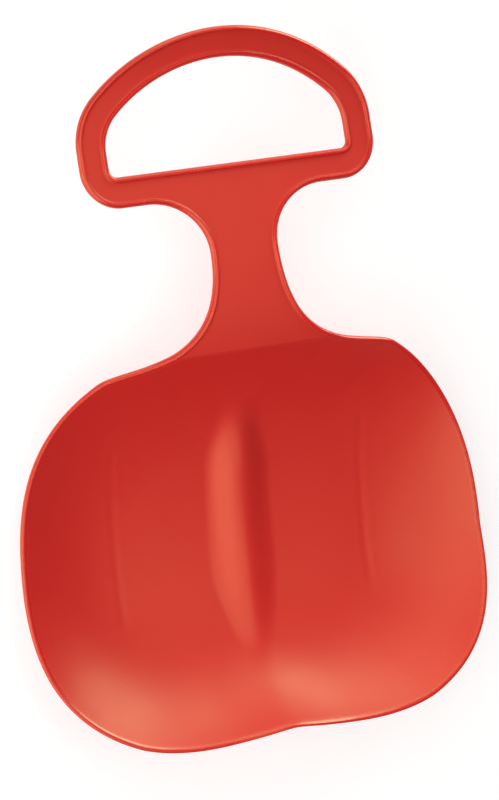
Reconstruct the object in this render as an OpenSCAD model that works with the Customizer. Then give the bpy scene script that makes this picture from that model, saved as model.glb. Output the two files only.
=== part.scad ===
// Moulded snow slider: a dished seat with a centre ridge, a waisted neck and a looped hand grip.
// Millimetres. X is across the seat, Y runs forward to the grip, Z is up and the runners stand on Z = 0.

/* [Seat] */
// Width of the seat over its rim
seat_w = 330; // [310:2:350]
// From the front crease back to the widest line of the seat
seat_front = 139.5; // [131:0.5:148]
// From the widest line back to the rear edge, before it is notched
seat_rear = 118.5; // [111:0.5:126]
// How far the front curve of the seat would run past the crease
front_over = 14; // [11:0.5:17]
// Squareness of the front corners, 2 is an ellipse
front_square = 2.5; // [2.3:0.05:2.7]
// Squareness of the rear corners, 2 is an ellipse
rear_square = 2.7; // [2.4:0.05:3]
// Depth of the notch in the middle of the rear edge
notch_d = 12.5; // [8:0.5:16]
// Half width of the notch
notch_half = 106; // [90:1:120]
// Height of the front crease over the lowest point of the seat
front_h = 53; // [47:0.5:59]
// Height of the side edges over the lowest point of the seat
side_h = 23; // [19:0.5:27]
// Height of the rear edge over the lowest point of the seat
rear_h = 52; // [48:0.5:58]
// Radius of the rocker along the bottom of the seat, ahead of the widest line
rocker_r = 310; // [290:5:380]
// Radius of the rocker behind the widest line
rear_rocker_r = 160; // [150:5:200]
// Share of the seat that keeps to the rocker before its walls begin
flat_share = 0.5; // [0.44:0.01:0.56]
// How sharply the walls turn up, 1 is a straight cone
wall_curve = 2.4; // [1.8:0.05:3]

/* [Ridge] */
// Width of the ridge between the legs
ridge_w = 48.5; // [42:0.5:56]
// Height of the ridge
ridge_h = 8.5; // [6:0.5:13]
// From the crease back to the nose of the ridge
ridge_from = 28; // [22:1:34]
// Length of the ridge
ridge_l = 188; // [170:1:196]
// Length over which the nose of the ridge rises
ridge_nose = 55; // [44:1:66]
// Length over which the tip of the ridge fades
ridge_fade = 75; // [60:1:90]
// Lift of the rear edge behind the ridge
tail_h = 6; // [3:0.5:9]
// Width of the lift at the rear edge
tail_w = 92; // [76:1:110]

/* [Neck] */
// Width of the neck at its waist, over its beads
neck_w = 47.5; // [42:0.5:54]
// Half width at which the neck runs into the shoulders of the seat
shoulder_x = 106.5; // [100:0.5:113]
// How long the neck keeps straight before it flares into the seat, as a share
neck_straight = 0.7; // [0.6:0.01:0.76]
// How long the shoulder keeps straight towards the neck, as a share
shoulder_straight = 0.19; // [0.12:0.01:0.26]
// Reach of the upper fillet across, from the neck to the grip
fillet_x = 38; // [34:0.5:42]
// Reach of the upper fillet along the neck
fillet_y = 35; // [31:0.5:39]

/* [Grip] */
// From the crease forward to the lower edge of the grip
grip_from = 100; // [94:0.5:106]
// Width of the grip
grip_w = 208; // [200:1:220]
// Height of the grip from its lower edge to its top
grip_l = 107; // [100:1:114]
// Width of the band round the hand hole
band_w = 19.8; // [18:0.2:22]
// Outer radius of the two lower corners
corner_r = 25.5; // [22:0.5:28]
// Outer radius where the sides turn into the top
haunch_r = 45; // [40:0.5:50]
// Height of the outer sides before they turn in
side_l = 38.5; // [36:0.5:42]
// Radius of the lower corners of the hand hole
hole_corner_r = 5; // [4:0.5:8]
// Radius where the sides of the hand hole turn into its top
hole_haunch_r = 30.5; // [27:0.5:34]
// Height of the sides of the hand hole before they turn in
hole_side_l = 16; // [14.5:0.5:17.5]
// Sag of the handle between the crease and the top of the grip
sag_h = 3; // [0:0.5:6]
// Wave of the handle, up over the neck and down over the hand hole
wave_h = 6; // [3:0.5:8]

/* [Wall] */
// Thickness of the moulded wall
wall = 3; // [2.4:0.1:3.6]
// Width of the bead on every edge
bead_w = 4; // [3:0.1:5]
// Thickness of the bead
bead_t = 6.2; // [5.4:0.1:7]

/* [Runners] */
// From the side of the seat floor out to the middle of a runner
runner_out = 9.5; // [6:0.5:14]
// Thickness of a runner
runner_w = 4; // [3:0.1:6]
// Depth of a runner under the lowest point of the seat
runner_h = 3; // [2:0.1:5]
// From the crease back to the tip of a runner
runner_from = 54; // [50:1:62]
// Length of a runner
runner_l = 120; // [110:1:130]

/* [Hidden] */

// Mesh steps; the front and rear walls take the first steps of their edges on each side
rear_steps = 26;
rear_wall_steps = 15;
front_steps = 11;
front_wall_steps = 8;
shoulder_steps = 6;
across_steps = 12;
neck_steps = 8;
fillet_steps = 8;
corner_steps = 6;
haunch_steps = 6;
crown_steps = 8;
hole_corner_steps = 4;
floor_steps = 12;
wall_steps = 8;
bar_steps = 2;
band_steps = 2;
runner_steps = 12;

// Places along the slider, forward of the crease
wide_t = -seat_front;
rear_t = wide_t - seat_rear;
waist_t = grip_from - fillet_y;
grip_top = grip_from + grip_l;
floor_z = runner_h + wall;
half_w = seat_w / 2;
front_l = seat_front + front_over;
tip_t = -ridge_from - ridge_l;
notch_foot = 6;

// Radius of a superellipse of half width a, half length b and squareness n, at an angle from its width
function super_r(f, a, b, n) = pow(pow(abs(cos(f)) / a, n) + pow(abs(sin(f)) / b, n), -1 / n);

// The rear edge is notched in the middle, with a rounded foot
function notch(x) = notch_d * pow(max(0, 1 - sqrt(x * x + notch_foot * notch_foot) / notch_half), 1.25);
function rear_pt(f) = let (r = super_r(f, half_w, seat_rear, rear_square), x = r * cos(f))
    [x, wide_t - r * sin(f) + notch(x)];

function front_pt(f) =
    let (r = super_r(f, half_w, front_l, front_square)) [r * cos(f), wide_t + r * sin(f)];

// The shoulder point lies on the front curve, and its heading is the slope of that curve
shoulder_share = 1 - pow(shoulder_x / half_w, front_square);
shoulder_t = wide_t + front_l * pow(shoulder_share, 1 / front_square);
shoulder_slope = -front_l / half_w * pow(shoulder_x / half_w, front_square - 1)
    * pow(shoulder_share, 1 / front_square - 1);
shoulder_f = atan2(shoulder_t - wide_t, shoulder_x);
shoulder_dir = [1, shoulder_slope] / norm([1, shoulder_slope]);

// The flare runs from the waist to the shoulder as one curve, tangent at both ends
flare_a = [neck_w / 2, waist_t];
flare_d = [shoulder_x, shoulder_t];
flare_l = norm(flare_d - flare_a);
flare_b = flare_a - [0, neck_straight * flare_l];
flare_c = flare_d - shoulder_dir * shoulder_straight * flare_l;

function flare(s) = pow(1 - s, 3) * flare_a + 3 * s * pow(1 - s, 2) * flare_b
    + 3 * s * s * (1 - s) * flare_c + pow(s, 3) * flare_d;

// Where the flare passes the end of the crease, a bead outside the web, by halving
function crossing(lo, hi, n) = n == 0 ? (lo + hi) / 2
    : let (m = (lo + hi) / 2) flare(m)[1] > bead_w ? crossing(m, hi, n - 1) : crossing(lo, m, n - 1);
crease_s = crossing(0, 1, 30);

function arc(c, r, f0, f1, n, from = 0) = [for (i = [from:n]) let (f = f0 + (f1 - f0) * i / n)
    c + [r[0] * cos(f), r[1] * sin(f)]];

// A three-centred arch over a half span a and rise b, with haunches of radius h
function arch(a, b, h, t) = let (
    r = (a * a + b * b - 2 * a * h) / (2 * (b - h)),
    turn = atan2(r - b, a - h))
    concat(arc([a - h, t], [h, h], 0, turn, haunch_steps),
           arc([0, t + b - r], [r, r], turn, 90, crown_steps, 1));

// Right half of the outer edge, from the rear middle round to the top middle of the grip
seat_edge = concat(
    [for (i = [0:rear_steps]) rear_pt(90 * (1 - pow(i / rear_steps, 1.25)))],
    [for (i = [1:front_steps]) front_pt(shoulder_f * i / front_steps)],
    [for (i = [1:shoulder_steps]) flare(1 - (1 - crease_s) * i / shoulder_steps)]);
neck_edge = concat(
    [for (i = [1:neck_steps]) flare(crease_s * (1 - i / neck_steps))],
    arc([neck_w / 2 + fillet_x, waist_t], [fillet_x, fillet_y], 180, 90, fillet_steps, 1));
grip_edge = concat(
    arc([grip_w / 2 - corner_r, grip_from + corner_r], [corner_r, corner_r], -90, 0, corner_steps),
    arch(grip_w / 2, grip_l - side_l, haunch_r, grip_from + side_l));
edge = concat(seat_edge, neck_edge, grip_edge);
mid_t = (grip_top + min([for (p = edge) p[1]])) / 2;

// Places in the list: the crease, the head of the neck and the foot of the arch
crease_i = len(seat_edge) - 1;
head_i = crease_i + neck_steps + fillet_steps / 2;
foot_i = len(seat_edge) + len(neck_edge) + corner_steps;
top_i = len(edge) - 1;

// Right half of the hand hole, from its bottom middle round to its top middle
hole_from = grip_from + band_w;
hole_w = grip_w - 2 * band_w;
hole_steps = foot_i - head_i + across_steps / 2 - hole_corner_steps;
hole_edge = concat(
    [for (i = [0:hole_steps - 1]) [(hole_w / 2 - hole_corner_r) * i / hole_steps, hole_from]],
    arc([hole_w / 2 - hole_corner_r, hole_from + hole_corner_r], [hole_corner_r, hole_corner_r],
        -90, 0, hole_corner_steps),
    arch(hole_w / 2, grip_l - 2 * band_w - hole_side_l, hole_haunch_r, hole_from + hole_side_l));
hole_foot = hole_steps + hole_corner_steps;
hole_top = len(hole_edge) - 1;

function unit(v) = v / norm(v);
function flip(p) = [-p[0], p[1]];

// Normal of a half edge at place i, to the right of its heading; its ends lie on the middle line
function before(e, i) = i == 0 ? flip(e[1]) : e[i - 1];
function after(e, i) = i == len(e) - 1 ? flip(e[i - 1]) : e[i + 1];
function right_of(v) = [v[1], -v[0]];
function normal(e, i) = right_of(unit(unit(e[i] - before(e, i)) + unit(after(e, i) - e[i])));

edge_out = [for (i = [0:top_i]) normal(edge, i)];
hole_out = [for (i = [0:hole_top]) -normal(hole_edge, i)];

// The web of the moulding ends where the beads begin
web = [for (i = [0:top_i]) edge[i] - bead_w * edge_out[i]];
hole_web = [for (i = [0:hole_top]) hole_edge[i] - bead_w * hole_out[i]];

// Heights. The bottom follows the rocker and the rim dips at the sides
crease_t = web[crease_i][1];
function rocker(t) = floor_z + pow(t - wide_t, 2) / (2 * (t > wide_t ? rocker_r : rear_rocker_r));
function front_share(t) = pow(max(0, (t - wide_t) / (crease_t - wide_t)), 5);
function rear_share(t) = pow(max(0, (wide_t - t) / seat_rear), 1.3);
function rim_z(t) = floor_z + side_h + (front_h - side_h) * front_share(t)
    + (rear_h - side_h) * rear_share(t);

// The handle is level from the crease to the top of the grip but for a sag and a cubic wave,
// which is scaled to reach wave_h at its two crests
function handle_z(t) = let (s = (t - crease_t) / (grip_top - crease_t))
    floor_z + front_h - 4 * sag_h * s * (1 - s)
    - 12 * sqrt(3) * wave_h * s * (1 - s) * (s - 0.5);

// The ridge is a wave across that swells at its nose and fades to its tip; behind it the rear edge
// lifts in a low wave
function clamp(v) = max(0, min(1, v));
function smooth(v) = pow(clamp(v), 2) * (3 - 2 * clamp(v));
function bump(x, half, h) = h * (1 + cos(180 * clamp(abs(x) / half))) / 2;
function ridge(x, t) = let (
    nose = smooth((-ridge_from - t) / ridge_nose),
    fade = smooth((t - tip_t) / ridge_fade),
    tail = clamp((tip_t / 2 + wide_t / 2 - t) / (tip_t / 2 + wide_t / 2 - rear_t)))
    bump(x, ridge_w / 2 * (0.6 + 0.4 * nose) * (0.55 + 0.45 * fade), ridge_h * nose * fade)
    + bump(x, tail_w / 2, tail_h * tail * tail);

// A seat point lies a share r of the way from the middle out to a rim point b
middle = [0, wide_t];
function rise(r) = pow(max(0, (r - flat_share) / (1 - flat_share)), wall_curve);
function bare_z(b, r) = let (t = wide_t + r * (b[1] - wide_t))
    rocker(t) + (rim_z(b[1]) - rocker(b[1])) * rise(r);
function slope(b, r) = let (lo = max(0, r - 0.03), hi = min(1, r + 0.03))
    (bare_z(b, hi) - bare_z(b, lo)) / ((hi - lo) * norm(b - middle));
function thick(b, r) = wall * sqrt(1 + pow(slope(b, r), 2));
function seat_pt(b, r) = let (
    p = middle + r * (b - middle),
    z = bare_z(b, r) + ridge(p[0], p[1]))
    [p[0], p[1], z, z - thick(b, r)];

// The neck takes over the wall thickness of the seat at the crease and eases to its own
function handle_pt(p) = let (
    z = handle_z(p[1]),
    ease = pow(clamp(1 - (p[1] - crease_t) / (waist_t / 2)), 2),
    depth = ease == 0 ? wall : wall + (thick([p[0], crease_t], 1) - wall) * ease)
    [p[0], p[1], z, z - depth];

function row(i) = [for (k = [0:across_steps]) [web[i][0] * (2 * k / across_steps - 1), web[i][1]]];

// Rim points of the seat, clockwise from the right end of the crease
rim_pts = concat(
    [for (i = [crease_i:-1:0]) web[i]],
    [for (i = [1:crease_i]) flip(web[i])],
    [for (k = [1:across_steps - 1]) row(crease_i)[k]]);

function seat_ring(r) = [for (b = rim_pts) seat_pt(b, r)];
floor_rings = [for (k = [1:floor_steps]) seat_ring(flat_share * k / floor_steps)];
wall_rings = [for (k = [0:wall_steps]) seat_ring(flat_share + (1 - flat_share) * k / wall_steps)];

// The walls divide behind the shoulders and in the rear corners
rim_n = len(rim_pts);
right_front = front_wall_steps;
left_front = 2 * crease_i - front_wall_steps;
right_corner = crease_i - rear_wall_steps;
left_corner = crease_i + rear_wall_steps;
function wall_part(first, last) = [for (r = wall_rings) [for (k = [first:last]) r[k % rim_n]]];

neck_rows = [for (i = [crease_i:head_i]) [for (p = row(i)) handle_pt(p)]];

// The crossbar lies between the lower edge of the grip with the neck head and the bottom of the hole
bar_low = concat(
    [for (i = [foot_i:-1:head_i]) flip(web[i])],
    [for (k = [1:across_steps - 1]) row(head_i)[k]],
    [for (i = [head_i:foot_i]) web[i]]);
bar_high = concat(
    [for (i = [hole_foot:-1:1]) flip(hole_web[i])],
    [for (i = [0:hole_foot]) hole_web[i]]);
bar_rows = [for (s = [0:bar_steps]) [for (k = [0:len(bar_low) - 1])
    handle_pt(bar_low[k] + (bar_high[k] - bar_low[k]) * s / bar_steps)]];

// The arch lies between the hole and the outer edge, from the left foot over the top
arch_in = concat(
    [for (i = [hole_foot:hole_top]) flip(hole_web[i])],
    [for (i = [hole_top - 1:-1:hole_foot]) hole_web[i]]);
arch_out = concat(
    [for (i = [foot_i:top_i]) flip(web[i])],
    [for (i = [top_i - 1:-1:foot_i]) web[i]]);
arch_rows = [for (s = [0:band_steps]) [for (k = [0:len(arch_in) - 1])
    handle_pt(arch_in[k] + (arch_out[k] - arch_in[k]) * s / band_steps)]];

// A plate from rows of points that hold x, y, top and bottom; columns may close into a ring
module plate(rows, ring = false, pole = undef) {
    n = len(rows);
    m = len(rows[0]);
    half = n * m;
    last = ring ? m - 1 : m - 2;
    poled = !is_undef(pole);
    points = concat(
        [for (r = rows) for (p = r) [p[0], p[1], p[2]]],
        [for (r = rows) for (p = r) [p[0], p[1], p[3]]],
        poled ? [[pole[0], pole[1], pole[2]], [pole[0], pole[1], pole[3]]] : []);
    skin = [for (i = [0:n - 2]) for (j = [0:last])
        let (a = i * m + j, b = i * m + (j + 1) % m, c = b + m, d = a + m)
        each [[a, d, c], [a, c, b], [a + half, c + half, d + half], [a + half, b + half, c + half]]];
    first_side = [for (j = [0:last]) let (a = j, b = (j + 1) % m)
        each poled ? [[2 * half, a, b], [2 * half + 1, b + half, a + half]]
            : [[a, b, b + half], [a, b + half, a + half]]];
    last_side = [for (j = [0:last]) let (a = (n - 1) * m + j, b = (n - 1) * m + (j + 1) % m)
        each [[b, a, a + half], [b, a + half, b + half]]];
    ends = ring ? [] : [for (i = [0:n - 2])
        let (a = i * m, b = a + m, c = a + m - 1, d = c + m)
        each [[b, a, a + half], [b, a + half, b + half], [c, d, d + half], [c, d + half, c + half]]];
    translate([0, -mid_t, 0])
        polyhedron(points, concat(skin, first_side, last_side, ends));
}

// A bead along stations [web point, outward normal, top, bottom, outward slope, lift], web on the right;
// at a lift of 1 it stands out above and below the web, and at 0 it is flush on top and hangs below
bead_shape = [[0.15, 1], [0.45, 1], [0.8, 0.75], [1, 0.25]];

function bead_ring(s) = let (
    h = bead_t / 2,
    c = (s[2] - h) * (1 - s[5]) + (s[2] + s[3]) / 2 * s[5],
    up = [for (q = bead_shape) [q[0] * bead_w, c + h * q[1] + q[0] * bead_w * s[4]]],
    down = [for (i = [len(bead_shape) - 1:-1:0]) let (q = bead_shape[i])
        [q[0] * bead_w, c - h * q[1] + q[0] * bead_w * s[4]]],
    all = concat([[0, s[2]]], up, down, [[0, s[3]]]))
    [for (q = all) [s[0][0] + s[1][0] * q[0], s[0][1] + s[1][1] * q[0], q[1]]];

module bead(stations, ring = false) {
    n = len(stations);
    m = 2 * len(bead_shape) + 2;
    last = ring ? n - 1 : n - 2;
    points = [for (s = stations) each bead_ring(s)];
    skin = [for (i = [0:last]) for (j = [0:m - 1])
        let (k = (j + 1) % m, e = (i + 1) % n, a = i * m + j, b = i * m + k, c = e * m + k, d = e * m + j)
        each [[a, b, c], [a, c, d]]];
    caps = ring ? [] : [for (j = [1:m - 2]) let (e = (n - 1) * m)
        each [[0, j + 1, j], [e, e + j, e + j + 1]]];
    translate([0, -mid_t, 0])
        polyhedron(points, concat(skin, caps));
}

// The seat bead leans with the wall and is flush with it; towards the crease it levels out and lifts
function seat_station(i) = let (p = seat_pt(web[i], 1), away = smooth((crease_t - web[i][1]) / 30))
    [web[i], edge_out[i], p[2], p[3], slope(web[i], 1) * away, 1 - away];
function handle_station(i) = let (p = handle_pt(web[i])) [web[i], edge_out[i], p[2], p[3], 0, 1];
function hole_station(i) = let (p = handle_pt(hole_web[i])) [hole_web[i], hole_out[i], p[2], p[3], 0, 1];
function mirrored(s) = [flip(s[0]), flip(s[1]), s[2], s[3], s[4], s[5]];

// Top of the seat at a place within reach of the rear and front curves
function seat_top(x, t) = let (
    f = atan2(abs(t - wide_t), x),
    reach = (t > wide_t ? super_r(f, half_w, front_l, front_square)
        : super_r(f, half_w, seat_rear, rear_square)) - bead_w,
    b = middle + reach * unit([x, t] - middle))
    bare_z(b, norm([x, t] - middle) / reach);

// A runner is a fin with a flat sole, a raked tip and its root inside the wall
runner_root = wall / 3;
runner_tip = 16;
runner_heel = 9;

module runner() {
    x = flat_share * (half_w - bead_w) + runner_out;
    tip = -runner_from;
    heel = tip - runner_l;
    root = [for (i = [0:runner_steps]) let (t = heel + runner_l * i / runner_steps)
        [t, seat_top(x, t) - wall + runner_root]];
    sole = [[tip, (seat_top(x, tip) - wall) * 0.6], [tip - runner_tip, 0], [heel + runner_heel, 0],
            [heel, (seat_top(x, heel) - wall) * 0.4]];
    translate([x - runner_w / 2, -mid_t, 0])
        rotate([90, 0, 90])
            linear_extrude(runner_w)
                polygon(concat(root, sole));
}

module seat_floor() {
    color("#d2402f")
        plate(floor_rings, true, seat_pt([0, rear_t], 0));
}

module front_wall() {
    color("#d2402f")
        plate(wall_part(left_front, rim_n + right_front));
}

module left_wall() {
    color("#d2402f")
        plate(wall_part(left_corner, left_front));
}

module right_wall() {
    color("#d2402f")
        plate(wall_part(right_front, right_corner));
}

module rear_wall() {
    color("#d2402f")
        plate(wall_part(right_corner, left_corner));
}

module seat_rim() {
    color("#d2402f")
        bead(concat([for (i = [crease_i:-1:0]) seat_station(i)],
                    [for (i = [1:crease_i]) mirrored(seat_station(i))]));
}

module neck() {
    color("#d2402f")
        plate(neck_rows);
}

module crossbar() {
    color("#d2402f")
        plate(bar_rows);
}

module grip_arch() {
    color("#d2402f")
        plate(arch_rows);
}

module handle_rim() {
    color("#d2402f")
        bead(concat([for (i = [crease_i:top_i]) mirrored(handle_station(i))],
                    [for (i = [top_i - 1:-1:crease_i]) handle_station(i)]));
}

module hole_rim() {
    color("#d2402f")
        bead(concat([for (i = [0:hole_top]) hole_station(i)],
                    [for (i = [hole_top - 1:-1:1]) mirrored(hole_station(i))]), true);
}

module left_runner() {
    color("#d2402f")
        mirror([1, 0, 0])
            runner();
}

module right_runner() {
    color("#d2402f")
        runner();
}

seat_floor();
front_wall();
left_wall();
right_wall();
rear_wall();
seat_rim();
neck();
crossbar();
grip_arch();
handle_rim();
hole_rim();
left_runner();
right_runner();
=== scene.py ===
import math

import bmesh
import bpy
import numpy as np
from mathutils import Matrix, Vector


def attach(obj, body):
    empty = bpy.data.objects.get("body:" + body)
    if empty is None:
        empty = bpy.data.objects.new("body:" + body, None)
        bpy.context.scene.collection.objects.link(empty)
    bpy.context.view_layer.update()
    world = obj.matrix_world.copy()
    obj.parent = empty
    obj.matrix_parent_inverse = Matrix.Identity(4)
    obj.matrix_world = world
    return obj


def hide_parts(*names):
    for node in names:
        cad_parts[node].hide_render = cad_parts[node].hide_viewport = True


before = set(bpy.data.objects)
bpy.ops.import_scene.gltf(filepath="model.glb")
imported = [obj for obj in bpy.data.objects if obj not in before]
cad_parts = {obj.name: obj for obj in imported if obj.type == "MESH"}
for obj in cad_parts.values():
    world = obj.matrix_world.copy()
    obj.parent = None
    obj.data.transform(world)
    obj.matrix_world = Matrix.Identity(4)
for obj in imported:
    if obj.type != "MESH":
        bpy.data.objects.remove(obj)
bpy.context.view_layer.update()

# Sizes in millimetres. A place along the slider is t, counted forward from the crease.
seat = dict(
    width=330.0, front=139.5, rear=118.5,  # front and rear are from the widest line
    frontOver=14.0, frontSquare=2.5, rearSquare=2.7,
    notchDepth=12.5, notchHalf=106.0, notchFoot=6.0, notchPower=1.25,
    frontHigh=53.0, sideHigh=23.0, rearHigh=52.0, frontLift=5.0, rearLift=1.3,
    rockerRadius=310.0, rearRocker=160.0, flatShare=0.5, wallCurve=2.4,
)
ridge = dict(
    width=48.5, high=8.5, start=28.0, length=188.0, nose=55.0, fade=75.0,
    noseShare=0.6, tipShare=0.55,  # of the full width, at either end
    tailHigh=6.0, tailWidth=92.0,
)
neck = dict(width=47.5, shoulderX=106.5, neckStraight=0.7, shoulderStraight=0.19,
            filletX=38.0, filletY=35.0,
            filletSplit=135)  # degrees round the fillet, where the neck ends and the crossbar starts
grip = dict(
    start=100.0, width=208.0, length=107.0, band=19.8, cornerRadius=25.5,
    haunchRadius=45.0, sideLength=38.5, holeCornerRadius=5.0, holeHaunchRadius=30.5,
    holeSide=16.0, sag=3.0, wave=6.0,
)
shell = dict(wall=3.0, beadWidth=4.0, beadThick=6.2, footShare=0.3, beadRunIn=30.0)
runner = dict(
    out=9.5, width=4.0, depth=3.0, start=54.0, length=120.0, tip=16.0, heel=9.0,
    heelShare=0.4, tipShare=0.6,  # height of the sole at either end, of the height under the seat
    endLength=2.0, cornerHigh=0.9, cornerShare=0.45, rootShare=1 / 3,
    sinkWidth=2.2, sinkDepth=0.30, sinkEnd=4.0,  # the plastic shrinks a little over each root
)

# how finely each stretch is divided, and how many points its dense curve has before that
mesh = dict(square=168, across=48, neckRows=40, cornerSteps=44, archSteps=76,
            bandRows=10, footSteps=6, roundSteps=6, finStations=121, finRound=6)
dense = dict(rear=1200, front=600, flare=1601, fillet=200, corner=300, haunch=300, crown=500,
             holeFloor=300, holeCorner=200)
metre = 0.001
weldReach = 2e-6  # metres

wideT = -seat["front"]
rearT = wideT - seat["rear"]
waistT = grip["start"] - neck["filletY"]
gripTop = grip["start"] + grip["length"]
holeStart = grip["start"] + grip["band"]
floorZ = runner["depth"] + shell["wall"]
halfWidth = seat["width"] / 2
frontLength = seat["front"] + seat["frontOver"]
tipT = -ridge["start"] - ridge["length"]
finX = seat["flatShare"] * (halfWidth - shell["beadWidth"]) + runner["out"]


# radius of a superellipse: each share of the width and length to the power n, added, to the power -1/n
def superRadius(angle, a, b, n):
    return ((abs(np.cos(angle)) / a) ** n + (abs(np.sin(angle)) / b) ** n) ** (-1 / n)


# a circle or ellipse arc: centre plus radius times cosine and sine
def arcOf(centre, radius, first, last, count):
    f = np.radians(np.linspace(first, last, count))
    return np.column_stack([centre[0] + radius[0] * np.cos(f), centre[1] + radius[1] * np.sin(f)])


# three-centred arch over half span a and rise b: a haunch circle of radius h, then the crown circle
# whose radius lets both meet on one tangent
def archOf(a, b, h, t):
    r = (a * a + b * b - 2 * a * h) / (2 * (b - h))
    turn = math.degrees(math.atan2(r - b, a - h))
    return np.vstack([arcOf((a - h, t), (h, h), 0, turn, dense["haunch"]),
                      arcOf((0, t + b - r), (r, r), turn, 90, dense["crown"])])


# notch in the rear edge: depth times a falling power of the distance from the middle line
def notchOf(x):
    share = 1 - np.sqrt(x * x + seat["notchFoot"] ** 2) / seat["notchHalf"]
    return seat["notchDepth"] * np.maximum(share, 0) ** seat["notchPower"]


# right half of the seat's outer curve: rear superellipse with its notch, then front superellipse
def seatCurve(shoulderAngle):
    f = np.linspace(math.pi / 2, 0, dense["rear"])
    r = superRadius(f, halfWidth, seat["rear"], seat["rearSquare"])
    x = r * np.cos(f)
    x[0] = 0
    back = np.column_stack([x, wideT - r * np.sin(f) + notchOf(x)])
    f = np.linspace(0, shoulderAngle, dense["front"])
    r = superRadius(f, halfWidth, frontLength, seat["frontSquare"])
    return np.vstack([back, np.column_stack([r * np.cos(f), wideT + r * np.sin(f)])])


# a cubic Bezier from the waist of the neck to the shoulder, tangent to both
def flareCurve():
    n, share = seat["frontSquare"], neck["shoulderX"] / halfWidth
    rest = 1 - share ** n
    shoulder = np.array([neck["shoulderX"], wideT + frontLength * rest ** (1 / n)])
    heading = np.array([1, -frontLength / halfWidth * share ** (n - 1) * rest ** (1 / n - 1)])
    heading /= np.linalg.norm(heading)
    waist = np.array([neck["width"] / 2, waistT])
    reach = np.linalg.norm(shoulder - waist)
    low = waist - [0, neck["neckStraight"] * reach]
    high = shoulder - heading * neck["shoulderStraight"] * reach
    s = np.linspace(0, 1, dense["flare"])[:, None]
    near, far = (1 - s) ** 2, s * s
    curve = (1 - s) * near * waist + 3 * s * near * low + 3 * far * (1 - s) * high + s * far * shoulder
    return curve, math.atan2(shoulder[1] - wideT, shoulder[0])


# normals to the right of a half edge's heading; both ends lie on the middle line
def rightNormals(curve, first, last):
    step = np.diff(curve, axis=0)
    step /= np.linalg.norm(step, axis=1)[:, None]
    head = np.vstack([[first], step[:-1] + step[1:], [last]])
    head /= np.linalg.norm(head, axis=1)[:, None]
    return np.column_stack([head[:, 1], -head[:, 0]])


# drops each point that repeats the one before it
def withoutRepeats(curve, shortest=1e-7):
    keep = np.append(True, np.linalg.norm(np.diff(curve, axis=0), axis=1) > shortest)
    return curve[keep]


# points at equal steps of length along a dense curve, all its columns interpolated
def spaced(curve, count):
    run = np.append(0, np.cumsum(np.linalg.norm(np.diff(curve[:, :2], axis=0), axis=1)))
    at = np.linspace(0, run[-1], count + 1)
    return np.column_stack([np.interp(at, run, column) for column in curve.T])


# the same points with x turned to -x; longer rows hold a normal too
def mirrored(points):
    flipped = points.copy()
    flipped[:, 0] *= -1
    if flipped.shape[1] > 3:
        flipped[:, 2] *= -1  # the x of the normal
    return flipped


flare, shoulderAngle = flareCurve()
creaseCut = np.argmax(flare[:, 1] <= shell["beadWidth"])
seatHalf = withoutRepeats(np.vstack([seatCurve(shoulderAngle), flare[:creaseCut - 1:-1]]))
filletCentre = (neck["width"] / 2 + neck["filletX"], waistT)
filletRadius = (neck["filletX"], neck["filletY"])
neckHalf = np.vstack([
    flare[creaseCut::-1],
    arcOf(filletCentre, filletRadius, 180, neck["filletSplit"], dense["fillet"])])
cornerX, cornerT = grip["width"] / 2 - grip["cornerRadius"], grip["start"] + grip["cornerRadius"]
cornerHalf = np.vstack([
    arcOf(filletCentre, filletRadius, neck["filletSplit"], 90, dense["fillet"]),
    arcOf((cornerX, cornerT), (grip["cornerRadius"],) * 2, -90, 0, dense["corner"])])
archHalf = np.vstack([
    [[grip["width"] / 2, cornerT]],
    archOf(grip["width"] / 2, grip["length"] - grip["sideLength"], grip["haunchRadius"],
           grip["start"] + grip["sideLength"])])

outer = withoutRepeats(np.vstack([seatHalf, neckHalf, cornerHalf, archHalf]))
outerNormal = rightNormals(outer, [1, 0], [-1, 0])
outerWeb = np.hstack([outer - shell["beadWidth"] * outerNormal, outerNormal])


# where on a curve the point nearest to a given one is
def placeOf(curve, point):
    return int(np.argmin(np.linalg.norm(curve - point, axis=1)))


creaseAt, headAt, footAt = (placeOf(outer, p) for p in (seatHalf[-1], cornerHalf[0], archHalf[0]))

holeWidth = grip["width"] - 2 * grip["band"]
holeCornerX = holeWidth / 2 - grip["holeCornerRadius"]
holeCornerT = holeStart + grip["holeCornerRadius"]
holeFloor = np.column_stack([
    np.linspace(0, holeCornerX, dense["holeFloor"]), np.full(dense["holeFloor"], holeStart)])
holeBottom = withoutRepeats(np.vstack([
    holeFloor,
    arcOf((holeCornerX, holeCornerT), (grip["holeCornerRadius"],) * 2, -90, 0, dense["holeCorner"])]))
holeArch = archOf(holeWidth / 2, grip["length"] - 2 * grip["band"] - grip["holeSide"],
                  grip["holeHaunchRadius"], holeStart + grip["holeSide"])
hole = withoutRepeats(np.vstack([holeBottom, holeArch]))
holeNormal = -rightNormals(hole, [1, 0], [-1, 0])
holeWeb = np.hstack([hole - shell["beadWidth"] * holeNormal, holeNormal])
holeFootAt = placeOf(hole, holeBottom[-1])

# the same stretches at even steps: the web's edge with its outward normal
seatSteps = (4 * mesh["square"] - mesh["across"]) // 2
seatSide = spaced(outerWeb[:creaseAt + 1], seatSteps)
neckSide = spaced(outerWeb[creaseAt:headAt + 1], mesh["neckRows"])
cornerSide = spaced(outerWeb[headAt:footAt + 1], mesh["cornerSteps"])
archSide = spaced(outerWeb[footAt:], mesh["archSteps"])
holeLow = spaced(holeWeb[:holeFootAt + 1], mesh["cornerSteps"] + mesh["across"] // 2)
holeHigh = spaced(holeWeb[holeFootAt:], mesh["archSteps"])
creaseT = seatSide[-1, 1]
midT = (gripTop + outer[:, 1].min()) / 2
print("outline", len(outer), "points, crease at", round(creaseT, 2), "middle at", round(midT, 2))


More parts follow.
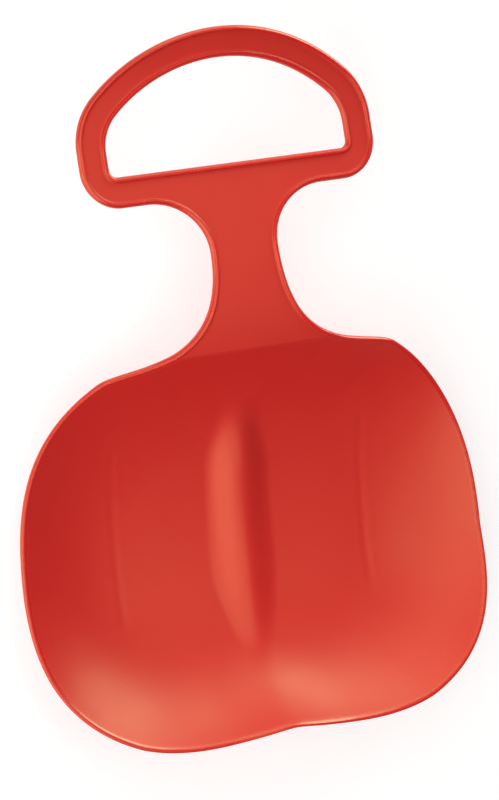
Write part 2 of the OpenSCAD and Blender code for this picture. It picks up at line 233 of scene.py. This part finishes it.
# the bottom follows a rocker, a parabola that is tighter behind the widest line
def rocker(t):
    radius = np.where(t > wideT, seat["rockerRadius"], seat["rearRocker"])
    return floorZ + (t - wideT) ** 2 / (2 * radius)


# the rim is lowest at the sides and lifts by a power of the way to the front and to the rear
def rimZ(t):
    ahead = np.maximum((t - wideT) / (creaseT - wideT), 0) ** seat["frontLift"]
    behind = np.maximum((wideT - t) / seat["rear"], 0) ** seat["rearLift"]
    side = seat["sideHigh"]
    return floorZ + side + (seat["frontHigh"] - side) * ahead + (seat["rearHigh"] - side) * behind


# the handle is level from the crease to the top of the grip, less a parabola and a cubic wave, whose
# factor of 12 root 3 makes its peaks 1
def handleZ(t):
    s = (t - creaseT) / (gripTop - creaseT)
    wave = 12 * math.sqrt(3) * s * (1 - s) * (s - 0.5)
    return floorZ + seat["frontHigh"] - 4 * grip["sag"] * s * (1 - s) - grip["wave"] * wave


# one raised-cosine hump of the given half width
def bump(x, half, high):
    return high * (1 + np.cos(math.pi * np.clip(abs(x) / half, 0, 1))) / 2


# 3 v squared less 2 v cubed, held between 0 and 1
def smooth(v):
    return np.clip(v, 0, 1) ** 2 * (3 - 2 * np.clip(v, 0, 1))


# a hump across x whose width and height swell over the nose and fade to the tip,
# and a low wave at the rear that grows by the square of the way to the edge
def ridgeZ(x, t):
    nose = smooth((-ridge["start"] - t) / ridge["nose"])
    fade = smooth((t - tipT) / ridge["fade"])
    tailFrom = (tipT + wideT) / 2
    tail = np.clip((tailFrom - t) / (tailFrom - rearT), 0, 1)
    swell = ridge["noseShare"] + (1 - ridge["noseShare"]) * nose
    half = ridge["width"] / 2 * swell * (ridge["tipShare"] + (1 - ridge["tipShare"]) * fade)
    hump = bump(x, half, ridge["high"] * nose * fade)
    return hump + bump(x, ridge["tailWidth"] / 2, ridge["tailHigh"] * tail ** 2)


# a shallow groove over each fin: a bell curve across x that runs out at both ends
def sinkZ(x, t):
    along = smooth((-runner["start"] - t) / runner["sinkEnd"]) * smooth(
        (t + runner["start"] + runner["length"]) / runner["sinkEnd"])
    return -runner["sinkDepth"] * np.exp(-((abs(x) - finX) / runner["sinkWidth"]) ** 2) * along


# height at a share r of the way out to a rim point at bt: the rocker, plus the rim's lift over it
# times a power of r
def bareZ(bt, r):
    rise = np.maximum((r - seat["flatShare"]) / (1 - seat["flatShare"]), 0) ** seat["wallCurve"]
    return rocker(wideT + r * (bt - wideT)) + (rimZ(bt) - rocker(bt)) * rise


# rise over run on the ray from the middle of the widest line to the rim point (bx, bt), taken between
# a step short of r and a step past it
def wallSlope(bx, bt, r, step=0.03):
    low, high = np.maximum(r - step, 0), np.minimum(r + step, 1)
    return (bareZ(bt, high) - bareZ(bt, low)) / ((high - low) * np.hypot(bx, bt - wideT))


# a share r of the way along that ray: x, t, the top with ridge and grooves, and the underside, lower by
# the wall times the root of 1 plus the slope squared, so the wall is as thick on a slope
def seatPoints(bx, bt, r):
    x, t = r * bx, wideT + r * (bt - wideT)
    top = bareZ(bt, r) + ridgeZ(x, t)
    thick = shell["wall"] * np.sqrt(1 + wallSlope(bx, bt, r) ** 2)
    return np.stack([x, t, top + sinkZ(x, t), top - thick], axis=-1)


# the neck takes over the seat's wall thickness at the crease and eases to its own
def handlePoints(x, t):
    top = handleZ(t)
    ease = np.clip(1 - (t - creaseT) / (waistT / 2), 0, 1) ** 2
    slope = wallSlope(x, np.full_like(x, creaseT), np.ones_like(x))
    seatWall = shell["wall"] * np.sqrt(1 + slope ** 2)
    return np.stack([x, t, top, top - shell["wall"] - (seatWall - shell["wall"]) * ease], axis=-1)


# each station's half width times even shares from -1 to 1
def rowAcross(side):
    k = np.linspace(-1, 1, mesh["across"] + 1)
    x = side[:, 0][:, None] * k
    return x, np.repeat(side[:, 1][:, None], len(k), axis=1)


# concentric map: a square grid whose rings become copies of the rim, so the middle has no pole
def squareGrid(n):
    a, b = np.meshgrid(np.linspace(-1, 1, n + 1), np.linspace(-1, 1, n + 1))
    share = np.maximum(abs(a), abs(b))
    u, v = (c / np.where(share > 0, share, 1) / 8 for c in (a, b))
    sides = np.where(a >= 0, v, 0.5 - v)
    ends = np.where(b >= 0, 0.25 - u, 0.75 + u)
    return share, np.where(abs(a) >= abs(b), sides, ends) % 1


# the rim as one loop: forward from the widest point, across the crease, back down the other side and
# round the rear; a grid point lies its share of the way out to the loop point at its turn
def seatGrid():
    widest = int(np.argmax(seatSide[:, 0]))
    creaseX, creaseRow = (c[0, -2:0:-1] for c in rowAcross(seatSide[-1:]))
    loop = np.vstack([
        seatSide[widest:, :2], np.column_stack([creaseX, creaseRow]),
        mirrored(seatSide[::-1, :2]), seatSide[1:widest, :2]])
    loop = np.vstack([loop, loop[:1]])
    share, turn = squareGrid(mesh["square"])
    at = turn * (len(loop) - 1)
    bx, bt = (np.interp(at, np.arange(len(loop)), loop[:, c]) for c in (0, 1))
    return seatPoints(bx, bt, share)


# even steps from one edge to the other: low, plus s times high less low
def between(low, high, rows):
    s = np.linspace(0, 1, rows + 1)[:, None]
    return [low[:, c] + (high[:, c] - low[:, c]) * s for c in (0, 1)]


# crossbar: from its lower edge, corner to corner past the neck, to the bottom of the hole
def barGrid():
    x, t = rowAcross(neckSide[-1:])
    middle = np.column_stack([x[0], t[0]])[1:-1]
    low = np.vstack([mirrored(cornerSide[::-1, :2]), middle, cornerSide[:, :2]])
    high = np.vstack([mirrored(holeLow[:0:-1, :2]), holeLow[:, :2]])
    return handlePoints(*between(low, high, mesh["bandRows"]))


# sides and top of the grip: from the arch of the hole to the outer arch
def bandGrid():
    low = np.vstack([mirrored(holeHigh[:, :2]), holeHigh[-2::-1, :2]])
    high = np.vstack([mirrored(archSide[:, :2]), archSide[-2::-1, :2]])
    return handlePoints(*between(low, high, mesh["bandRows"]))


# half of the bead's profile as shares of its width and height: a raised-cosine foot from the web up to
# the crown, then a quarter ellipse out to the edge
def beadProfile():
    foot, share = np.linspace(0, 1, mesh["footSteps"]), shell["footShare"]
    turn = np.linspace(0, math.pi / 2, mesh["roundSteps"])[1:]
    out = np.concatenate([share * foot, share + (1 - share) * np.sin(turn)])
    webShare = np.concatenate([(1 + np.cos(math.pi * foot)) / 2, 0 * turn])
    crown = np.concatenate([np.ones(len(foot)), np.maximum(np.cos(turn), 0)])
    return out, webShare, crown


# the profile goes over the top and back underneath; at a lift of 1 the bead stands out above and below
# the web, and at 0 it is flush on top and hangs below
def beadGrid(web, plate, lean, lift):
    out, webShare, crown = beadProfile()
    top, low, lift = plate[:, 2][:, None], plate[:, 3][:, None], lift[:, None]
    half = shell["beadThick"] / 2
    centre = (top - half) * (1 - lift) + (top + low) / 2 * lift
    upper = webShare * top + (1 - webShare) * (centre + half * crown)
    lower = webShare * low + (1 - webShare) * (centre - half * crown)
    reach = shell["beadWidth"] * np.append(out, out[-2::-1])
    z = np.hstack([upper, lower[:, -2::-1]]) + lean[:, None] * reach
    x = web[:, 0][:, None] + web[:, 2][:, None] * reach
    t = web[:, 1][:, None] + web[:, 3][:, None] * reach
    return np.stack([x, t, z], axis=-1)


# the other half of a ring of stations, mirrored and run back
def closed(web, plate, *rest):
    flat = np.array([-1, 1, 1, 1])
    return (np.vstack([web, mirrored(web)[-2:0:-1]]), np.vstack([plate, plate[-2:0:-1] * flat]),
            *(np.append(r, r[-2:0:-1]) for r in rest))


# along the seat the bead leans with the wall and is flush on top; near the crease it comes level and
# lifts, and along neck and grip it stands out on both sides
def outerBead():
    side, hand = seatSide[:-1], np.vstack([neckSide[:-1], cornerSide[:-1], archSide])
    rim = np.ones(len(side))
    away = smooth((creaseT - side[:, 1]) / shell["beadRunIn"])
    lean = np.append(wallSlope(side[:, 0], side[:, 1], rim) * away, np.zeros(len(hand)))
    lift = np.append(1 - away, np.ones(len(hand)))
    plate = np.vstack([seatPoints(side[:, 0], side[:, 1], rim), handlePoints(hand[:, 0], hand[:, 1])])
    return beadGrid(*closed(np.vstack([side, hand]), plate, lean, lift))


# the hole's bead goes round the other way, so that its faces point outwards
def holeBead():
    web = np.vstack([holeLow, holeHigh[1:]])
    web = np.vstack([web, mirrored(web)[-2:0:-1]])[::-1]
    return beadGrid(web, handlePoints(web[:, 0], web[:, 1]), np.zeros(len(web)), np.ones(len(web)))


# quads over a grid of points; a ring joins its last row to its first
def gridFaces(rows, columns, start, ring=False, down=False):
    i, j = np.meshgrid(np.arange(rows if ring else rows - 1), np.arange(columns - 1), indexing="ij")
    here, after = i * columns + j, (i + 1) % rows * columns + j
    quads = np.stack([here, here + 1, after + 1, after], axis=-1).reshape(-1, 4) + start
    return quads[:, ::-1] if down else quads


# one welded, smooth-shaded mesh in metres, on the only body
def meshPiece(name, points, quads, material, polish):
    data = bpy.data.meshes.new(name)
    data.from_pydata((points * metre).tolist(), [], quads.tolist())
    data.attributes.new("polish", "FLOAT", "POINT").data.foreach_set("value", polish)
    work = bmesh.new()
    work.from_mesh(data)
    bmesh.ops.remove_doubles(work, verts=work.verts, dist=weldReach)
    work.to_mesh(data)
    work.free()
    data.polygons.foreach_set("use_smooth", np.ones(len(data.polygons), bool))
    data.materials.append(material)
    data.update()
    piece = bpy.data.objects.new(name, data)
    bpy.context.scene.collection.objects.link(piece)
    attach(piece, "root")
    print(name, len(data.vertices), "points", len(data.polygons), "faces")
    return piece


# seat, neck, crossbar and arch as top and bottom skins, closed by the beads of the edge and of the hole
def buildShell(material):
    blocks, faces, polish, count = [], [], [], 0
    plates = [seatGrid(), handlePoints(*rowAcross(neckSide)), barGrid(), bandGrid()]
    for plate in plates:
        rows, columns = plate.shape[:2]
        for height, down in ((2, False), (3, True)):
            blocks.append(plate[..., [0, 1, height]].reshape(-1, 3))
            faces.append(gridFaces(rows, columns, count, down=down))
            polish.append(np.zeros(rows * columns))
            count += rows * columns
    for bead in (outerBead(), holeBead()):
        blocks.append(bead.reshape(-1, 3))
        faces.append(gridFaces(*bead.shape[:2], count, ring=True))
        polish.append(np.tile(np.arange(bead.shape[1]) % (bead.shape[1] - 1) > 1, bead.shape[0]))
        count += bead.shape[0] * bead.shape[1]
    points = np.vstack(blocks) - [0, midT, 0]
    piece = meshPiece("slider_shell", points, np.vstack(faces), material, np.concatenate(polish))
    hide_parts("seat_floor", "front_wall", "left_wall", "right_wall", "rear_wall", "seat_rim",
                "neck", "crossbar", "grip_arch", "handle_rim", "hole_rim")


# top of the seat over a place in plan, without the ridge
def seatTop(x, t):
    angle = np.arctan2(abs(t - wideT), x)
    ahead = superRadius(angle, halfWidth, frontLength, seat["frontSquare"])
    behind = superRadius(angle, halfWidth, seat["rear"], seat["rearSquare"])
    reach = np.where(t > wideT, ahead, behind) - shell["beadWidth"]
    away = np.hypot(x, t - wideT)
    return bareZ(wideT + reach * (t - wideT) / away, away / reach)


# a profile, then the same run back
def thereAndBack(profile):
    return np.append(profile, profile[::-1])


# a fin: stations along t, at each a U with rounded lower corners; its ends are half ellipses in plan
def buildRunner(name, node, side, material):
    tip, heel = -runner["start"], -runner["start"] - runner["length"]
    t = heel + runner["length"] * (1 - np.cos(np.linspace(0, math.pi, mesh["finStations"]))) / 2
    under = seatTop(np.full_like(t, finX), t) - shell["wall"]
    ends = np.interp([heel, tip], t, under) * [runner["heelShare"], runner["tipShare"]]
    sole = np.interp(t, [heel, heel + runner["heel"], tip - runner["tip"], tip], [ends[0], 0, 0, ends[1]])
    root = under + shell["wall"] * runner["rootShare"]
    nose = np.minimum((t - heel) / runner["endLength"], (tip - t) / runner["endLength"]).clip(0, 1)
    half = runner["width"] / 2 * np.sqrt(1 - (1 - nose) ** 2)
    turn = np.linspace(0, math.pi / 2, mesh["finRound"])[1:]
    across = np.concatenate([[1, 1], 1 - runner["cornerShare"] * (1 - np.cos(turn))])
    lift = thereAndBack(np.concatenate([[1, 0], 0 * turn]))
    drop = thereAndBack(runner["cornerHigh"] * np.concatenate([[0, 1], 1 - np.sin(turn)]))
    x = half[:, None] * np.append(across, -across[::-1])
    z = root[:, None] * lift + (sole[:, None] + drop) * (1 - lift)
    x, z = np.hstack([x, x[:, :1]]), np.hstack([z, z[:, :1]])
    y = np.repeat(t[:, None], x.shape[1], axis=1) - midT
    points = np.stack([side * (finX + x), y, z], axis=-1)
    quads = gridFaces(*x.shape, 0, down=side < 0)
    piece = meshPiece(name, points.reshape(-1, 3), quads, material, np.zeros(x.size))
    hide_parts(node)


class Wire:  # one socket of a node tree; operators on it add Math nodes
    def __init__(self, tree, socket):
        self.tree, self.socket = tree, socket

    def node(self, kind, settings=None, values=None, out=0):
        made = self.tree.nodes.new(kind)
        for key, value in (settings or {}).items():
            setattr(made, key, value)
        for key, value in (values or {}).items():
            if isinstance(value, Wire):
                self.tree.links.new(value.socket, made.inputs[key])
            else:
                made.inputs[key].default_value = value
        return Wire(self.tree, made.outputs[out] if len(made.outputs) else None)

    def rays(self):  # whether the ray comes from the camera, from a reflection or through glass
        outputs = self.node("ShaderNodeLightPath").socket.node.outputs
        names = ("Is Camera Ray", "Is Glossy Ray", "Is Transmission Ray")
        return [Wire(self.tree, outputs[name]) for name in names]

    def math(self, operation, *values):
        return self.node("ShaderNodeMath", {"operation": operation}, dict(enumerate(values)))

    def __add__(self, other):
        return self.math("ADD", self, other)

    def __sub__(self, other):
        return self.math("SUBTRACT", self, other)

    def __mul__(self, other):
        return self.math("MULTIPLY", self, other)

    def __rsub__(self, other):
        return self.math("SUBTRACT", other, self)

    __radd__ = __add__
    __rmul__ = __mul__


def emptyTree(owner):
    owner.use_nodes = True
    owner.node_tree.nodes.clear()
    return Wire(owner.node_tree, None)


plastic = dict(
    deep=(0.67, 0.0180, 0.0205, 1), bright=(0.73, 0.0225, 0.0220, 1), sheen=(1.0, 1.0, 0.50, 1),
    gloss=0.79, roughness=0.45, edgeRoughness=0.26, cloudSpread=0.10, grainSpread=0.05,
    flowScale=14.0, flowDetail=3.0, flowStretch=(1.0, 0.35, 1.0), flowShare=0.75,
    cloudScale=55.0, cloudDetail=4.0, grainScale=1400.0, grainDetail=2.0,
    noiseRoughness=0.55, peel=0.000035, cloudRelief=0.6,  # peel is in metres
)


def noiseOf(place, mark):
    return place.node("ShaderNodeTexNoise", None, {
        "Vector": place, "Scale": plastic[mark + "Scale"], "Detail": plastic[mark + "Detail"],
        "Roughness": plastic["noiseRoughness"]})


# moulded polyethylene: two close reds in slow flow marks, an uneven satin that is smoother along
# the beads, and fine orange peel
def plasticMaterial():
    material = bpy.data.materials.new("red_plastic_satin")
    tree = emptyTree(material)
    place = tree.node("ShaderNodeTexCoord", out=3)
    drawn = tree.node("ShaderNodeMapping", None, {"Vector": place, "Scale": plastic["flowStretch"]})
    flow, cloud, grain = noiseOf(drawn, "flow"), noiseOf(place, "cloud"), noiseOf(place, "grain")
    marks = flow * plastic["flowShare"] + cloud * (1 - plastic["flowShare"])
    tint = tree.node("ShaderNodeMix", {"data_type": "RGBA"},
                     {0: marks, 6: plastic["deep"], 7: plastic["bright"]}, out=2)
    polish = tree.node("ShaderNodeAttribute", {"attribute_name": "polish"}, out=2)
    satin = plastic["roughness"] - polish * (plastic["roughness"] - plastic["edgeRoughness"])
    satin = satin + (cloud - 0.5) * plastic["cloudSpread"] + (grain - 0.5) * plastic["grainSpread"]
    height = (grain + cloud * plastic["cloudRelief"]) * plastic["peel"]
    relief = tree.node("ShaderNodeBump", None, {"Strength": 1.0, "Distance": 1.0, "Height": height})
    shader = tree.node("ShaderNodeBsdfPrincipled", None, {
        "Base Color": tint, "Roughness": satin, "Normal": relief,
        "Specular IOR Level": plastic["gloss"], "Specular Tint": plastic["sheen"]})
    tree.node("ShaderNodeOutputMaterial", None, {"Surface": shader})
    return material


stage = dict(size=9.0, colour=(0.97, 0.97, 0.97, 1), seenColour=(0.50, 0.50, 0.50, 1), white=0.65)


# pale floor; the camera sees a greyer one, which keeps the shadow, and a glow that makes it up to white
def buildFloor():
    material = bpy.data.materials.new("pale_floor")
    tree = emptyTree(material)
    seen, glossy, through = tree.rays()
    share = tree.math("MAXIMUM", tree.math("MAXIMUM", seen, glossy), through)
    matt = tree.node("ShaderNodeBsdfDiffuse", None, {"Color": stage["colour"]})
    shade = tree.node("ShaderNodeBsdfDiffuse", None, {"Color": stage["seenColour"]})
    glow = tree.node("ShaderNodeEmission", None, {"Color": (1, 1, 1, 1), "Strength": stage["white"]})
    both = tree.node("ShaderNodeAddShader", None, {0: shade, 1: glow})
    mixed = tree.node("ShaderNodeMixShader", None, {0: share, 1: matt, 2: both})
    tree.node("ShaderNodeOutputMaterial", None, {"Surface": mixed})
    half = stage["size"] / 2
    data = bpy.data.meshes.new("floor")
    corners = [(-half, -half, 0), (half, -half, 0), (half, half, 0), (-half, half, 0)]
    data.from_pydata(corners, [], [(0, 1, 2, 3)])
    data.materials.append(material)
    floor = bpy.data.objects.new("floor", data)
    bpy.context.scene.collection.objects.link(floor)


# lamps round the slider: the turn from +x towards +y, the rise above the floor and the spread in degrees,
# the distance from the point aimed at and the size in metres, the power in watts
lamps = dict(
    rightLow=dict(turn=42, rise=12, away=2.0, size=1.15, power=24.2),
    leftLow=dict(turn=180, rise=14, away=2.0, size=0.9, power=8.9),
    backLow=dict(turn=80, rise=10, away=2.0, size=1.3, power=8.8),
    backHigh=dict(turn=92, rise=40, away=2.0, size=1.4, power=4.6),
    frontLeft=dict(turn=217, rise=38, away=1.5, size=1.5, power=12.2),
    topLeft=dict(turn=145, rise=58, away=1.3, size=1.15, power=4.8),
    overSeat=dict(turn=339, rise=85, away=0.85, size=0.5, power=0.105, aim=(0, -0.12), spread=48),
    overGrip=dict(turn=17, rise=67, away=0.81, size=0.3, power=0.0062, aim=(-0.09, 0.14), spread=28),
)
lampColour = (1.0, 0.98, 0.95)
ambient = dict(colour=(1.0, 1.0, 1.0, 1), strength=0.05, mirrored=0.05)


# the sky is white to the camera and through glass, and dim as light and in the plastic's own gloss
def buildLight():
    world = bpy.data.worlds.new("studio")
    bpy.context.scene.world = world
    tree = emptyTree(world)
    seen, glossy, through = tree.rays()
    share = tree.math("MAXIMUM", tree.math("MAXIMUM", seen, through), glossy * ambient["mirrored"])
    strength = ambient["strength"] + share * (1 - ambient["strength"])
    sky = tree.node("ShaderNodeBackground", None, {"Color": ambient["colour"], "Strength": strength})
    tree.node("ShaderNodeOutputWorld", None, {"Surface": sky})
    for name, lamp in lamps.items():
        data = bpy.data.lights.new(name, "AREA")
        data.shape, data.size = "DISK", lamp["size"]
        data.energy, data.color = lamp["power"], lampColour
        data.spread = math.radians(lamp.get("spread", 180))
        turn, rise = math.radians(lamp["turn"]), math.radians(lamp["rise"])
        toward = Vector((math.cos(turn), math.sin(turn), math.tan(rise))).normalized()
        light = bpy.data.objects.new(name, data)
        light.location = Vector((*lamp.get("aim", (0, 0)), 0)) + toward * lamp["away"]
        light.rotation_euler = toward.to_track_quat("Z", "Y").to_euler()
        bpy.context.scene.collection.objects.link(light)


# the photo was taken from the left of the middle plane and nearly square to it; pixels are of its 499 x 800
shot = dict(
    lean=25.0, dip=-6.0, roll=8.829, focal=4363.0, scale=0.646, centreX=235.85, centreY=377.9,
    aimT=-20.0, aimUp=20.0, frameWidth=499, frameHeight=800, sensor=36.0, nearest=0.01, farthest=50.0,
)


def buildCamera():
    lean, dip, roll = (math.radians(shot[k]) for k in ("lean", "dip", "roll"))
    back = Vector((-math.sin(lean), -math.cos(lean) * math.sin(dip), math.cos(lean) * math.cos(dip)))
    flat = Vector((math.cos(lean), -math.sin(lean) * math.sin(dip), math.sin(lean) * math.cos(dip)))
    rise = Vector((0, math.cos(dip), math.sin(dip)))
    right = flat * math.cos(roll) - rise * math.sin(roll)
    up = flat * math.sin(roll) + rise * math.cos(roll)
    aim = Vector((0, shot["aimT"] - midT, shot["aimUp"] + floorZ)) * metre
    data = bpy.data.cameras.new("camera")
    data.sensor_width = shot["sensor"]
    data.lens = shot["focal"] * shot["sensor"] / shot["frameHeight"]
    data.shift_x = (shot["frameWidth"] / 2 - shot["centreX"]) / shot["frameHeight"]
    data.shift_y = (shot["centreY"] - shot["frameHeight"] / 2) / shot["frameHeight"]
    data.clip_start, data.clip_end = shot["nearest"], shot["farthest"]
    camera = bpy.data.objects.new("camera", data)
    standing = Matrix.Translation(aim + back * shot["focal"] * shot["scale"] * metre)
    camera.matrix_world = standing @ Matrix((right, up, back)).transposed().to_4x4()
    bpy.context.scene.collection.objects.link(camera)
    bpy.context.scene.camera = camera


redPlastic = plasticMaterial()
buildShell(redPlastic)
buildRunner("left_fin", "left_runner", -1, redPlastic)
buildRunner("right_fin", "right_runner", 1, redPlastic)
buildFloor()
buildLight()
buildCamera()
bpy.context.scene.view_settings.view_transform = "Standard"
print("floor,", len(lamps), "lamps and camera")
